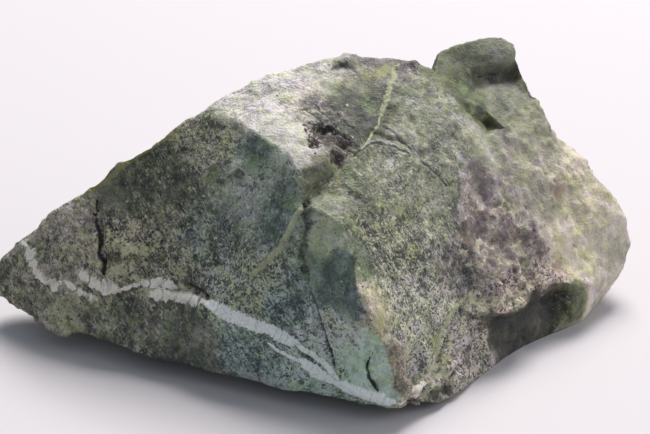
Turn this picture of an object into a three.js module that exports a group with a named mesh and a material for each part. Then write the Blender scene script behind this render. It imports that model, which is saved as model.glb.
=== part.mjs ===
// Rough peridot stone: one broken lump of mottled green rock, lying on a small flat underside.
// Millimetres, +Z up, +X along the stone. The pointed wing is at -X, the thick end at +X,
// the overhanging prow faces -Y and the plain broken back faces +Y.
// The stone starts as a cage of corners and broad faces. The faces are split into a fine net,
// the edges are worn, and then swells, lumps, scars, cracks and pits are pressed into the net.
import * as THREE from "three";
import { ImprovedNoise } from "three/addons/math/ImprovedNoise.js";

const netLength = 2.5; // longest side in the net of the broken surface
const netDetail = 0.4; // share of that length along the cracks and pits
const netPlain = 1.6; // and on the plainer back and underside
const backStart = 24; // Y from which the surface counts as the back
const belowHeight = 2; // Z up to which it counts as the underside
const netRounds = 20; // rounds of splitting and turning, more than enough for the finest places
const levelEnough = 0.985; // two triangles are level when their normals agree this far
const wearPasses = 2; // rounds of softening over the cage's edges
const wearShare = 0.12; // how far each round moves a point towards its neighbours
const swells = [
  // size across, height
  [15, 0.42],
  [7, 0.22],
  [4, 0.16],
];
const scarSpacing = 9; // distance between the shell-like fracture scars
const scarDepth = 0.42;
const footFade = 2.5; // height above the resting face over which the relief fades in
const lowestRelief = 0.15; // nothing but the resting face comes lower than this

// Corners of the cage.
const corners = {
  // tip and crest of the left wing
  tipTop: [-57, 11, 9.5],
  tipLow: [-57, 9, 4.5],
  crestEnd: [-50.5, 9, 16.5],
  crestLow: [-45.5, 7.5, 21.5],
  crestStep: [-37, 7, 28.8],
  crestNick: [-34.5, 8, 30.8],
  crestMid: [-28.5, 7.5, 34],
  crestHigh: [-22.5, 8.5, 38.5],
  // high plateau: its far brow and its near rim
  shoulder: [-20, 8.5, 39.5],
  browLeft: [-16.5, 11, 42],
  browNick: [-12.5, 13, 42.8],
  browMid: [-4, 16, 44.2],
  browRight: [0, 19, 44.5],
  rimLeft: [-14, 6, 39.5],
  rimMid: [-10, 1.5, 38],
  rimTurn: [-6, -1.5, 37],
  rimLow: [-4, -5, 35],
  pitEdge: [-2, 5, 39.5],
  plateauEnd: [1, 8, 40],
  // crown over the middle
  crownLeft: [3.5, 21.5, 44.5],
  crownMid: [9, 21, 44],
  crownRight: [15, 20.5, 43.5],
  notch: [18.5, 19.5, 42],
  crossing: [8.5, 8, 38],
  crossFoot: [15.5, 4.5, 33],
  // gully between plateau and middle
  gullyTop: [4, 1.5, 35.5],
  gullyMid: [1.5, -3, 33],
  gullyLow: [-1, -5.5, 31.5],
  saddle: [-3.5, -8, 31.5],
  // step across the front, and the hollow under it
  stepTop: [-6, -10, 26.5],
  stepLow: [-11.5, -11, 20],
  valleyTop: [-3, -9.5, 30],
  valleyHigh: [-2, -12.5, 24.5],
  valleyMid: [0, -16, 19.5],
  valleyLow: [3, -19, 14],
  valleyFoot: [6.5, -22, 8.5],
  // front ridge, down to the prow
  ridgeTop: [0, -11, 31],
  ridgeBrow: [3, -13, 29.5],
  ridgeHigh: [4.5, -16.5, 26.5],
  ridgeMid: [5, -19, 22],
  ridgeBend: [7, -21, 18],
  ridgeLow: [9.5, -21.5, 13],
  ridgeFoot: [11, -23, 8.5],
  ridgeEnd: [12, -23.5, 5],
  prow: [11.5, -22, 2],
  prowLeft: [8, -22, 2.5],
  prowRight: [16.5, -20, 1.5],
  prowHeel: [21, -15.5, 0.5],
  // lines of the pale vein and of the bottom edge below it
  veinTip: [-50.5, 7, 15],
  veinFar: [-44, 2, 11.5],
  veinBump: [-37, -1, 12],
  veinLeft: [-30, -3.5, 13],
  veinMid: [-23, -7, 13.5],
  veinTurn: [-17.5, -10.5, 13],
  veinRight: [-12, -13, 12],
  veinFork: [-7, -15.5, 10.5],
  veinLow: [-1.5, -18.5, 8],
  veinNear: [4, -21.5, 5.5],
  veinEnd: [9.5, -23, 4],
  keelRight: [4, -21, 2.5],
  keelMid: [-12, -14.5, 3],
  keelLeft: [-20, -11.5, 2.5],
  keelBend: [-28.5, -8, 3],
  keelFar: [-37.5, -3.5, 3.5],
  keelDip: [-42, -0.5, 3.5],
  keelBump: [-44.5, -1.5, 3],
  keelTip: [-50, 3.5, 4],
  // middle face, its far edge and the nose under it
  middleLeft: [6.5, -6, 31],
  middleTop: [11.5, -2.5, 30],
  middleHigh: [12.5, -8.5, 24],
  middleLow: [14, -13.5, 16],
  middleFoot: [16, -17, 9.5],
  eastTop: [20, 17, 40],
  eastHigh: [21.5, 12.5, 36.5],
  eastBend: [22.5, 8.5, 32.5],
  eastMid: [20.5, 2.5, 26.5],
  eastLow: [21.5, -1, 21],
  eastFoot: [23, -4.5, 14],
  seamTop: [22, -7, 11.5],
  seamMid: [19.5, -12, 8.5],
  seamLow: [18, -16, 5.5],
  noseLeft: [14, -21.5, 5],
  noseRight: [17, -19, 4.5],
  // upstanding peak, with the recess under its head and the slot at its foot
  peakLeft: [19.5, 25.5, 44],
  peakMid: [25.5, 29.5, 44],
  peakTop: [31, 32.5, 44],
  peakRight: [33.5, 32.5, 42.5],
  headLeft: [25, 25.5, 40.5],
  headRight: [33.5, 30.5, 39.8],
  recessLeft: [26, 28.5, 37.5],
  recessRight: [32.5, 31.5, 36.5],
  neckLeft: [25.5, 23, 37],
  neckRight: [33.5, 28, 35.5],
  slotTop: [27.5, 19.5, 34.8],
  slotLeft: [24.5, 17.5, 35],
  slotRight: [30.5, 18.5, 32.3],
  slotLow: [27, 16, 31.8],
  slotDeep: [28, 22, 31.5],
  // thick right end
  flankTop: [34.5, 29, 37.5],
  flankHigh: [37.5, 26.5, 32.5],
  flankMid: [41, 24, 26.6],
  hump: [45, 23, 24.3],
  flankLow: [49, 22, 19.7],
  flankFoot: [53, 20.5, 15],
  endTop: [54.5, 19.5, 10],
  endLow: [52.5, 17, 6],
  saddleRight: [35, 20.5, 30],
  lump: [26, 11.2, 31.4],
  bulge: [29.5, 13, 27.5],
  flatTop: [37.5, 15, 23.5],
  flatLeft: [28.5, 6, 20.5],
  flatMid: [39, 9.5, 15.5],
  flatRight: [47, 16, 15],
  rollLeft: [30.5, 1.2, 14.9],
  rollMid: [39.5, 8, 11.8],
  rollRight: [47, 14, 10.5],
  ledgeLeft: [24.5, -7, 10],
  ledgeMid: [31, -3.5, 9.2],
  ledgeBend: [36, 1.5, 9.6],
  ledgeRight: [39, 5.5, 10],
  ledgeEnd: [44.5, 7.5, 7.2],
  underLeft: [26, -3, 7],
  underMid: [32.5, 2.5, 6],
  underRight: [38.5, 8, 6],
  // resting face
  heelLeft: [25.5, -9.5, 0],
  heelNear: [30, -3.5, 0],
  heelMid: [34, 0.5, 0],
  heelBend: [38.5, 4, 0],
  heelRight: [45, 9, 0],
  heelEnd: [49, 16, 0],
  soleLeft: [-27, 9, 0],
  soleNearLeft: [-17, 0, 0],
  soleNear: [-2, -5, 0],
  soleNearRight: [14, -9, 0],
  soleFarLeft: [-19, 14, 0],
  soleFar: [-3, 19, 0],
  soleFarMid: [15, 21, 0],
  soleFarRight: [32, 24, 0],
  soleEnd: [43, 21, 0],
  // back: a row behind the crest and a lower row above the resting face
  backEnd: [50, 27, 13],
  backFlank: [40, 34, 25],
  backPeak: [29, 37.5, 36],
  backNotch: [17, 30, 34],
  backCrown: [4, 33, 35],
  backBrow: [-10, 24, 35],
  backShoulder: [-22, 18.5, 31],
  backWing: [-35, 17, 19],
  backWingLow: [-46, 14.5, 12.5],
  backTip: [-55, 13.5, 7],
  lowEnd: [46, 30, 6],
  lowFlank: [31, 38.5, 11],
  lowMid: [12, 34.5, 13],
  lowBrow: [-9, 31.5, 10],
  lowShoulder: [-26, 22, 8],
  lowWing: [-43, 15.5, 4],
};

// Broad faces, each between two rows of corners. Seen from outside the stone, both rows run
// left to right and the first lies above the second.
const faces = {
  leftFace: [
    "tipTop crestEnd crestLow crestStep crestNick crestMid crestHigh shoulder rimLeft rimMid rimTurn",
    "tipTop veinTip veinFar veinBump veinLeft veinMid veinTurn stepLow stepTop",
  ],
  rimFace: ["rimTurn rimLow saddle", "stepTop"],
  lowerFace: [
    "stepLow stepTop saddle valleyTop valleyHigh valleyMid valleyLow valleyFoot",
    "veinTurn veinRight veinFork veinLow veinNear veinEnd",
  ],
  bevel: [
    "tipTop veinTip veinFar veinBump veinLeft veinMid veinTurn veinRight veinFork veinLow veinNear veinEnd prow",
    "tipLow keelTip keelBump keelDip keelFar keelBend keelLeft keelMid keelRight prowLeft prow",
  ],
  plateau: [
    "shoulder browLeft browNick browMid browRight",
    "rimLeft rimMid rimTurn pitEdge plateauEnd",
  ],
  pitWall: ["rimTurn pitEdge", "rimLow"],
  pittedSlope: ["pitEdge plateauEnd gullyTop", "rimLow saddle gullyLow gullyMid"],
  saddleFace: ["saddle gullyLow", "valleyTop ridgeTop"],
  hollow: [
    "ridgeTop ridgeBrow ridgeHigh ridgeMid ridgeBend ridgeLow ridgeFoot ridgeEnd",
    "valleyTop valleyHigh valleyMid valleyLow valleyFoot",
  ],
  prowTip: ["valleyFoot ridgeEnd", "veinEnd prow"],
  crownFace: [
    "plateauEnd browRight crownLeft crownMid crownRight notch eastTop eastHigh",
    "gullyTop crossing crossFoot eastBend",
  ],
  middleTopFace: [
    "gullyLow gullyMid gullyTop crossing crossFoot eastBend",
    "ridgeTop middleLeft middleTop eastMid",
  ],
  middleFace: ["ridgeTop middleLeft middleTop eastMid", "ridgeBrow middleHigh eastLow"],
  middleLowFace: ["ridgeBrow middleHigh eastLow", "ridgeHigh ridgeMid middleLow eastFoot"],
  middleFootFace: [
    "ridgeMid middleLow eastFoot seamTop",
    "ridgeBend ridgeLow middleFoot seamMid",
  ],
  noseTop: ["ridgeLow middleFoot seamMid", "ridgeFoot seamLow"],
  noseFace: ["ridgeFoot seamLow", "ridgeEnd noseLeft noseRight"],
  lip: ["ridgeEnd noseLeft noseRight", "prow prowRight"],
  peakSide: [
    "peakMid headLeft neckLeft slotTop slotLeft",
    "peakLeft notch eastTop eastHigh",
  ],
  peakHead: ["peakMid peakTop peakRight", "headLeft headRight"],
  recessRoof: ["headLeft headRight", "recessLeft recessRight"],
  recessWall: ["recessLeft recessRight", "neckLeft neckRight"],
  recessEnd: ["recessLeft", "headLeft neckLeft"],
  peakFlank: ["headRight flankTop flankHigh", "headRight recessRight neckRight"],
  neck: ["neckLeft neckRight flankHigh", "slotTop slotRight saddleRight"],
  slotRoof: ["slotLeft slotTop slotRight", "slotLeft slotDeep slotRight"],
  slotFloor: ["slotLeft slotDeep slotRight", "slotLeft slotLow slotRight"],
  lumpFace: ["eastHigh slotLeft slotLow slotRight saddleRight", "eastBend lump bulge flatTop"],
  flankFace: ["flankHigh flankMid hump", "saddleRight flatTop"],
  rightFace: [
    "eastBend lump bulge flatTop hump flankLow",
    "eastMid flatLeft flatMid flatRight flankFoot",
  ],
  rightMiddle: [
    "eastMid flatLeft flatMid flatRight flankFoot",
    "eastLow rollLeft rollMid rollRight endTop",
  ],
  rightRoll: [
    "eastLow rollLeft rollMid rollRight endTop",
    "eastFoot seamTop ledgeLeft ledgeMid ledgeBend ledgeRight ledgeEnd endLow",
  ],
  overhang: ["ledgeLeft ledgeMid ledgeBend ledgeRight", "underLeft underMid underRight"],
  rightFoot: ["ledgeRight ledgeEnd endLow heelEnd", "underRight heelBend heelRight heelEnd"],
  heelFace: ["underLeft underMid underRight", "heelNear heelMid heelBend"],
  seamFace: [
    "ledgeLeft underLeft heelNear heelLeft prowHeel",
    "seamTop seamMid seamLow noseRight prowRight",
  ],
  backTop: [
    "endTop flankFoot flankLow hump flankMid flankHigh flankTop headRight peakRight peakTop peakMid" +
      " peakLeft notch crownRight crownMid crownLeft browRight browMid browNick browLeft shoulder" +
      " crestHigh crestMid crestNick crestStep crestLow crestEnd tipTop",
    "backEnd backFlank backPeak backNotch backCrown backBrow backShoulder backWing backWingLow backTip",
  ],
  backMiddle: [
    "endTop backEnd backFlank backPeak backNotch backCrown backBrow backShoulder backWing" +
      " backWingLow backTip",
    "endLow lowEnd lowFlank lowMid lowBrow lowShoulder lowWing tipLow",
  ],
  backFoot: [
    "endLow lowEnd lowFlank lowMid lowBrow lowShoulder lowWing tipLow",
    "heelEnd soleEnd soleFarRight soleFarMid soleFar soleFarLeft soleLeft",
  ],
  tipEnd: ["backTip tipTop", "tipLow"],
  underside: [
    "tipLow keelTip keelBump keelDip keelFar keelBend keelLeft keelMid keelRight prowLeft prow" +
      " prowRight prowHeel heelLeft",
    "soleLeft soleNearLeft soleNear soleNearRight heelLeft",
  ],
  sole: [
    "soleLeft soleNearLeft soleNear soleNearRight heelLeft heelNear heelMid heelBend heelRight heelEnd",
    "soleLeft soleFarLeft soleFar soleFarMid soleFarRight soleEnd heelEnd",
  ],
};

// Rugged places, where the relief is stronger: the middle, the reach and the gain.
const ruggedPlaces = [
  { at: [31, 0, 13], reach: 13, gain: 1.8 },
  { at: [17, -17, 6], reach: 9, gain: 1.6 },
  { at: [27, 10, 27], reach: 11, gain: 1.2 },
  { at: [-43, 3, 13], reach: 13, gain: 1.2 },
  { at: [1, 1, 36], reach: 7, gain: 1.6 },
  { at: [0, 32, 20], reach: 26, gain: 1.4 },
];

// Cracks: a line over the surface, the half width and the depth of its groove.
const cracks = [
  { line: [[-37.5, 5, 24.5], [-37, 3.5, 21.5], [-37, 2, 19], [-36, 1, 16.5]], width: 0.9, depth: 0.9 },
  { line: [[-4, -10, 26], [-3, -11.5, 23.5], [-3, -13, 21]], width: 0.9, depth: 0.6 },
  { line: [[-2, -14.5, 18], [-0.5, -15.5, 16], [0.5, -17.5, 13.5]], width: 0.9, depth: 0.6 },
  { line: [[0.5, -18.5, 11], [1.5, -19.5, 8]], width: 0.7, depth: 0.7 },
  { line: [[6.5, -21, 11], [6.5, -21.5, 8.5], [8, -22.5, 6.5]], width: 0.8, depth: 0.6 },
  { line: [[5.5, 3, 35.5], [7.5, 6, 37], [12, 6, 35.5], [16, 5, 33]], width: 0.8, depth: 0.4 },
  { line: [[-25, -5.5, 14.5], [-22, -7, 15], [-19, -8.5, 14.5]], width: 1, depth: 0.9 },
  { line: [[22, -7, 11.5], [20, -11, 9], [18.5, -15, 6]], width: 0.9, depth: 0.6 },
];

// Pits: the middle, the radius and the depth.
const pits = [
  { at: [-3, -8, 31], radius: 1.5, depth: 1.2 },
  { at: [-0.5, 4, 38.5], radius: 1.8, depth: 1.1 },
  { at: [-2, 0.5, 37], radius: 1.3, depth: 0.9 },
  { at: [3, 2, 36], radius: 1.9, depth: 1.2 },
  { at: [1.5, -0.5, 35], radius: 1.6, depth: 1 },
  { at: [0, -3.5, 33], radius: 1.4, depth: 0.7 },
  { at: [3, 18.5, 43.5], radius: 2, depth: 0.7 },
  { at: [11.5, -23, 7], radius: 1.3, depth: 1 },
  { at: [13.5, -21.5, 2.5], radius: 1.5, depth: 1.2 },
  { at: [17, -19, 2.5], radius: 1.5, depth: 1.2 },
  { at: [19.5, -16.5, 2], radius: 1.5, depth: 0.9 },
  { at: [23.5, -5, 9], radius: 1.2, depth: 0.9 },
  { at: [-45.5, 3, 12], radius: 1.4, depth: 0.8 },
  { at: [-3.5, -17.5, 9], radius: 1, depth: 0.5 },
];

const noise = new ImprovedNoise();
const names = Object.keys(corners);
const points = names.map((name) => new THREE.Vector3(...corners[name]));
const onSole = (point) => point.z < 1e-6;

// One broad face as triangles between its two rows, each time over the shorter diagonal.
function bridgeRows([upperRow, lowerRow]) {
  const upper = upperRow.split(" ").map((name) => names.indexOf(name));
  const lower = lowerRow.split(" ").map((name) => names.indexOf(name));
  const span = (a, b) => points[a].distanceTo(points[b]);
  const triangles = [];
  let i = 0;
  let j = 0;
  while (i < upper.length - 1 || j < lower.length - 1) {
    const upperLeft = i < upper.length - 1;
    const lowerLeft = j < lower.length - 1;
    const stepUpper =
      !lowerLeft || (upperLeft && span(upper[i + 1], lower[j]) <= span(upper[i], lower[j + 1]));
    triangles.push([upper[i], lower[j], stepUpper ? upper[i + 1] : lower[j + 1]]);
    if (stepUpper) i += 1;
    else j += 1;
  }
  return triangles.filter((triangle) => new Set(triangle).size === 3);
}

// How near a point is to a crack or a pit: 1 on it, 0 from twice its width away.
function nearDetail(point) {
  const near = (distance, reach) => THREE.MathUtils.clamp(2 - distance / reach, 0, 1);
  const shares = cracks.map(({ line, width }) => near(distanceToLine(point, line), width));
  const others = pits.map(({ at, radius }) => near(point.distanceTo(vector(at)), radius));
  return Math.max(...shares, ...others);
}

// Longest side that the net allows at a point.
function allowedLength(point) {
  const plain = point.y > backStart || point.z < belowHeight ? netPlain : 1;
  return netLength * THREE.MathUtils.lerp(plain, netDetail, nearDetail(point));
}

function vector([x, y, z]) {
  return new THREE.Vector3(x, y, z);
}

function distanceToLine(point, line) {
  const nearest = new THREE.Vector3();
  let distance = Infinity;
  for (let i = 0; i < line.length - 1; i += 1) {
    const piece = new THREE.Line3(vector(line[i]), vector(line[i + 1]));
    piece.closestPointToPoint(point, true, nearest);
    distance = Math.min(distance, nearest.distanceTo(point));
  }
  return distance;
}

// The side of a triangle that is longest against what the net allows there.
const strains = new Map();
function longestSide(triangle) {
  let worst = { strain: 0 };
  for (let turn = 0; turn < 3; turn += 1) {
    const [a, b] = [triangle[turn], triangle[(turn + 1) % 3]].sort((m, n) => m - n);
    const key = `${a} ${b}`;
    if (!strains.has(key)) {
      const middle = points[a].clone().lerp(points[b], 0.5);
      strains.set(key, points[a].distanceTo(points[b]) / allowedLength(middle));
    }
    const strain = strains.get(key);
    if (strain > worst.strain || (strain === worst.strain && key > worst.key)) {
      worst = { strain, key, turn, a, b };
    }
  }
  return worst;
}

// Splits overlong sides at their middle. A side is split only when it is the longest of both
// triangles on it, so the net stays closed and keeps its proportions.
function splitSides(triangles) {
  const longest = triangles.map(longestSide);
  const sharing = new Map();
  for (const { key } of longest) sharing.set(key, (sharing.get(key) ?? 0) + 1);
  const middles = new Map();
  for (const { key, strain, a, b } of longest) {
    if (strain > 1 && sharing.get(key) === 2 && !middles.has(key)) {
      middles.set(key, points.push(points[a].clone().lerp(points[b], 0.5)) - 1);
    }
  }
  return triangles.flatMap((triangle, i) => {
    const middle = middles.get(longest[i].key);
    if (middle === undefined) return [triangle];
    const [a, b, c] = [0, 1, 2].map((k) => triangle[(longest[i].turn + k) % 3]);
    return [
      [a, middle, c],
      [middle, b, c],
    ];
  });
}

const faceOf = (a, b, c) => new THREE.Triangle(points[a], points[b], points[c]);
const normalOf = (face) => face.getNormal(new THREE.Vector3());

// How open a triangle is: near 0 for a sliver, largest for equal sides.
function openness(face) {
  const { a, b, c } = face;
  const sides = a.distanceToSquared(b) + b.distanceToSquared(c) + c.distanceToSquared(a);
  return face.getArea() / sides;
}

// Turns the shared side of two level triangles wherever that gives a less sliver-like pair.
function turnSides(triangles) {
  const owners = new Map();
  triangles.forEach((triangle, i) => {
    triangle.forEach((a, k) => owners.set(`${a} ${triangle[(k + 1) % 3]}`, i));
  });
  const turned = [...triangles];
  const done = new Set();
  triangles.forEach((triangle, i) => {
    triangle.forEach((a, k) => {
      const [b, c] = [triangle[(k + 1) % 3], triangle[(k + 2) % 3]];
      const j = owners.get(`${b} ${a}`);
      if (j < i || done.has(i) || done.has(j)) return;
      const d = triangles[j].find((corner) => corner !== a && corner !== b);
      if (owners.has(`${c} ${d}`) || owners.has(`${d} ${c}`)) return;
      const before = [faceOf(a, b, c), faceOf(b, a, d)];
      const after = [faceOf(c, a, d), faceOf(d, b, c)];
      const normals = [...before, ...after].map(normalOf);
      if (normals.some((normal) => normal.dot(normals[0]) < levelEnough)) return;
      const worst = (pair) => Math.min(...pair.map(openness));
      if (worst(after) < worst(before) * 1.05) return;
      turned[i] = [c, a, d];
      turned[j] = [d, b, c];
      done.add(i).add(j);
    });
  });
  return turned;
}

// Splits and turns sides by turns until the whole net is fine enough.
function fineNet(coarse) {
  let net = turnSides(coarse);
  for (let round = 0; round < netRounds; round += 1) net = turnSides(splitSides(net));
  return splitSides(net);
}

// Softens the edges of the cage by moving every point towards the mean of its neighbours.
function wearEdges(triangles) {
  const neighbours = points.map(() => new Set());
  for (const [a, b, c] of triangles) {
    neighbours[a].add(b).add(c);
    neighbours[b].add(c).add(a);
    neighbours[c].add(a).add(b);
  }
  for (let pass = 0; pass < wearPasses; pass += 1) {
    const means = neighbours.map((around) => {
      const mean = new THREE.Vector3();
      for (const i of around) mean.addScaledVector(points[i], 1 / around.size);
      return mean;
    });
    points.forEach((point, i) => {
      const height = onSole(point) ? 0 : THREE.MathUtils.lerp(point.z, means[i].z, wearShare);
      point.lerp(means[i], wearShare).setZ(height);
    });
  }
}

// Height of the relief at a point of the worn net, outward from the stone.
function reliefAt(point) {
  let height = 0;
  for (const [size, rise] of swells) {
    height += 2 * rise * noise.noise(point.x / size, point.y / size + 40, point.z / size);
  }
  height -= scarDepth * (0.5 - scarAt(point));
  for (const { at, reach, gain } of ruggedPlaces) {
    height *= 1 + gain * hollowShape(point.distanceTo(vector(at)) / reach);
  }
  for (const { line, width, depth } of cracks) {
    height -= depth * hollowShape(distanceToLine(point, line) / width);
  }
  for (const { at, radius, depth } of pits) {
    height -= depth * hollowShape(point.distanceTo(vector(at)) / radius);
  }
  return height * THREE.MathUtils.smoothstep(point.z, 0, footFade);
}

// A rounded hollow: 1 in the middle, 0 from its rim outward.
function hollowShape(t) {
  return t < 1 ? (1 - t * t) ** 2 : 0;
}

// Shell-like scars around scattered middles: 0 in the middle of a scar, rising to the
// sharp rim where two scars meet.
function scarAt(point) {
  const cell = point.clone().divideScalar(scarSpacing);
  const home = cell.clone().floor();
  let nearest = Infinity;
  for (let i = 0; i < 27; i += 1) {
    const step = new THREE.Vector3((i % 3) - 1, (Math.floor(i / 3) % 3) - 1, Math.floor(i / 9) - 1);
    const corner = home.clone().add(step);
    const middle = corner.clone().addScalar(0.5).add(scatter(corner));
    nearest = Math.min(nearest, middle.distanceTo(cell));
  }
  return Math.min(nearest * nearest, 1);
}

// A steady, irregular shift for the scar of one cell.
function scatter(corner) {
  const along = (k) => noise.noise(corner.x * 0.7 + k, corner.y * 0.7 + 0.3, corner.z * 0.7 + 0.6);
  return new THREE.Vector3(along(0.2), along(5.4), along(9.7));
}

// Outward direction at every point of the net.
function outwardAt(triangles) {
  const outward = points.map(() => new THREE.Vector3());
  for (const [a, b, c] of triangles) {
    const across = points[c].clone().sub(points[b]);
    const normal = across.cross(points[a].clone().sub(points[b]));
    for (const i of [a, b, c]) outward[i].add(normal);
  }
  return outward.map((direction) => direction.normalize());
}

// Presses the relief into the net; the resting face stays flat and nothing goes below it.
function pressRelief(triangles) {
  const outward = outwardAt(triangles);
  const heights = points.map(reliefAt);
  points.forEach((point, i) => {
    const resting = onSole(point);
    point.addScaledVector(outward[i], heights[i]);
    if (!resting) point.z = Math.max(point.z, lowestRelief);
  });
}

function buildStone() {
  const triangles = fineNet(Object.values(faces).flatMap(bridgeRows));
  wearEdges(triangles);
  pressRelief(triangles);
  const geometry = new THREE.BufferGeometry().setFromPoints(points);
  geometry.setIndex(triangles.flat());
  geometry.computeVertexNormals();
  geometry.computeBoundingBox();
  const middle = geometry.boundingBox.getCenter(new THREE.Vector3());
  geometry.translate(-middle.x, -middle.y, -geometry.boundingBox.min.z);
  return geometry;
}

const rockMaterial = new THREE.MeshStandardMaterial({
  name: "mottled_green_rock",
  color: 0x76806a,
  roughness: 0.85,
  metalness: 0,
});

const stone = new THREE.Mesh(buildStone(), rockMaterial);
stone.name = "rough_stone";

const group = new THREE.Group();
group.name = "rough_peridot";
group.add(stone);

export default group;
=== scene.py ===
import math

import bmesh
import bpy
import numpy as np
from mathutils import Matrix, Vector, noise
from mathutils.bvhtree import BVHTree
from mathutils.kdtree import KDTree


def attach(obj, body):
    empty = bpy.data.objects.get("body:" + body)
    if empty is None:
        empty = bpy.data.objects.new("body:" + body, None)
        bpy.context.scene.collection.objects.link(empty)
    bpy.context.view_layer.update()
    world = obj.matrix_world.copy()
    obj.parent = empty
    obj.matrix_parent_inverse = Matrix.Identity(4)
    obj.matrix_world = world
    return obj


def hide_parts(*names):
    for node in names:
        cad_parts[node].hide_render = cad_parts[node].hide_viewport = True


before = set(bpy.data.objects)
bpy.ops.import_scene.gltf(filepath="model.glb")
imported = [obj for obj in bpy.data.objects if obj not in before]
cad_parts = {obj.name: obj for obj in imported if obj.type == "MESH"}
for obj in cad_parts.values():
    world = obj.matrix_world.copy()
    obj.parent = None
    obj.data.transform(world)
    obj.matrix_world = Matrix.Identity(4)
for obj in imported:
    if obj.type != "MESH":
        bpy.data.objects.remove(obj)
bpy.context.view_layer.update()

mm = 0.001  # the frame is in metres, and the stone is easiest to think of in millimetres
bothWays = dict(use_axis_x=True, use_axis_y=True, use_axis_z=True)

# How the CAD solid becomes the broken surface. Lengths are in millimetres.
stone = {
    "node": "rough_stone",
    "slot": "mottled_green_rock",
    "body": "root",
    "openEdge": 0.5,        # longest triangle side kept on plain stone
    "soleEdge": 1.2,        # on the sole, where nothing shows
    "lineEdge": 0.2,        # beside a vein or a crack
    "halvings": 5,
    "creaseAngle": 24,      # degrees: a sharper edge than this is kept crisp
    "softenRounds": 2,
    "chips": [(4.6, 0.2), (2.1, 0.26), (1.0, 0.3)],     # chip size and how far its plane leans
    "creases": [(3.0, 0.14), (1.2, 0.13)],              # size and height
    "smoothShare": 0.16,    # share of that relief which the smoothest faces keep
    "knobs": (1.25, 0.5),   # size and height of the knobs where the stone is roughest
    "crackDepth": 0.45,
    "grooveDepth": 0.16,
    "veinProud": 0.12,
    "seamProud": 0.16,
    "holeDepth": 0.5,
    "footFade": 1.6,        # height above the sole over which the relief comes in
    "lineStep": 0.35,       # between the points that a line is laid through
    "lineReach": 3,         # how far from a line a vertex still looks for it
    "farAway": 9.0,         # the number of half widths that stands for no line near
    "toneStray": [(4.5, 1.6), (1.7, 0.8)],      # size and reach of the wander of the tones
    "markStray": [(1.3, 0.75), (0.5, 0.3)],     # and of the small marks
    "seed": 5,              # never 0, which would take the clock instead
}

# Without a seed, noise_vector gives another stone each run.
noise.seed_set(stone["seed"])


def copyOfNode():
    bm = bmesh.new()
    bm.from_mesh(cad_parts[stone["node"]].data)
    bmesh.ops.remove_doubles(bm, verts=bm.verts[:], dist=2e-6)
    for layer in list(bm.loops.layers.uv):
        bm.loops.layers.uv.remove(layer)
    return bm


def refine(bm, tree):
    def wanted(edge):
        middle = (edge.verts[0].co + edge.verts[1].co) / 2
        if middle.z < 0.02 * mm:
            return stone["soleEdge"]
        gap = tree.find(middle)[2] / mm
        return min(stone["openEdge"], stone["lineEdge"] + 0.5 * max(0.0, gap - 0.5))

    for _ in range(stone["halvings"]):
        tooLong = [e for e in bm.edges if e.calc_length() > 1.33 * mm * wanted(e)]
        if not tooLong:
            break
        bmesh.ops.subdivide_edges(bm, edges=tooLong, cuts=1, use_grid_fill=False)
        wide = [f for f in bm.faces if len(f.verts) > 3]
        bmesh.ops.triangulate(bm, faces=wide, quad_method="SHORT_EDGE", ngon_method="BEAUTY")
    print("stone net:", len(bm.faces), "triangles")


def soften(bm):
    limit = math.radians(stone["creaseAngle"])
    crisp = set()
    for edge in bm.edges:
        if edge.is_manifold and edge.calc_face_angle() > limit:
            crisp.update(edge.verts)
    soft = [v for v in bm.verts if v not in crisp and v.co.z > 0.05 * mm]
    for _ in range(stone["softenRounds"]):
        bmesh.ops.smooth_vert(bm, verts=soft, factor=0.5, **bothWays)


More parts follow.
